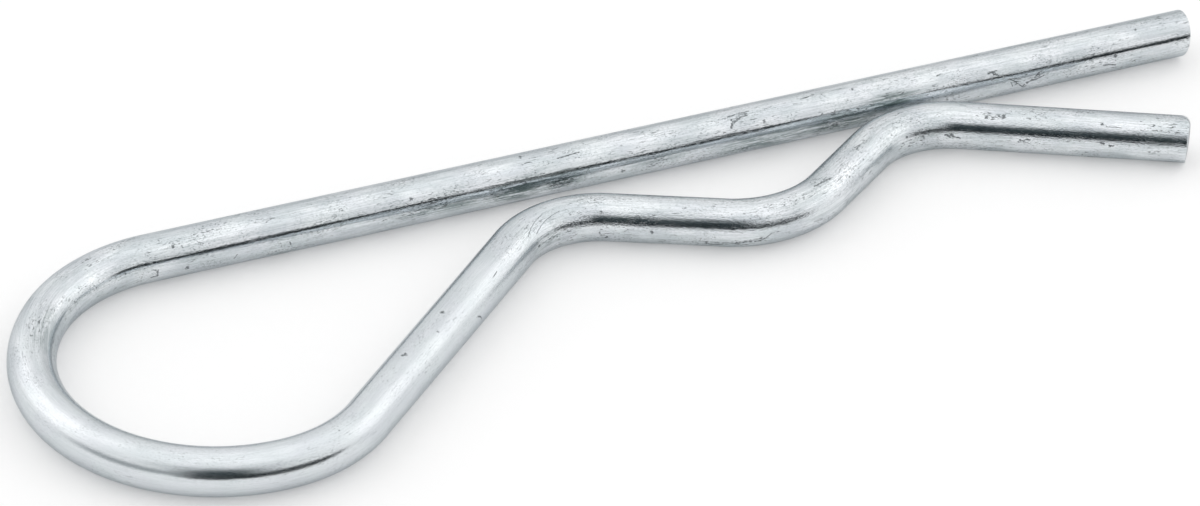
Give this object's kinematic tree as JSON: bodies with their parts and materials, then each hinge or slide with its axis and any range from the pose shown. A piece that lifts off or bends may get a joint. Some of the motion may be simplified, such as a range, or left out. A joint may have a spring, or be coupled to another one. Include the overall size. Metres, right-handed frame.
{
  "type": "hitch r clip pin",
  "caption": "Wire spring clip that locks a hitch pin: a straight leg for the pin's cross hole, a round eye to pull on, and a wavy leg whose saddle grips the pin from outside.",
  "frame": {"origin": "where the axis of the hitch pin crosses the axis of the straight leg, at mid thickness of the wire", "axes": "+X along the straight leg towards its free end, +Z square to the flat clip and along the hitch pin, so the wavy leg lies on the -Y side"},
  "size_m": [0.0817, 0.0255, 0.003],
  "materials": {
    "zinc_wire": "bright zinc plating over drawn spring wire, with fine lengthwise draw lines"
  },
  "bodies": {
    "root": {"clip_wire": "zinc_wire"}
  },
  "joints": []
}
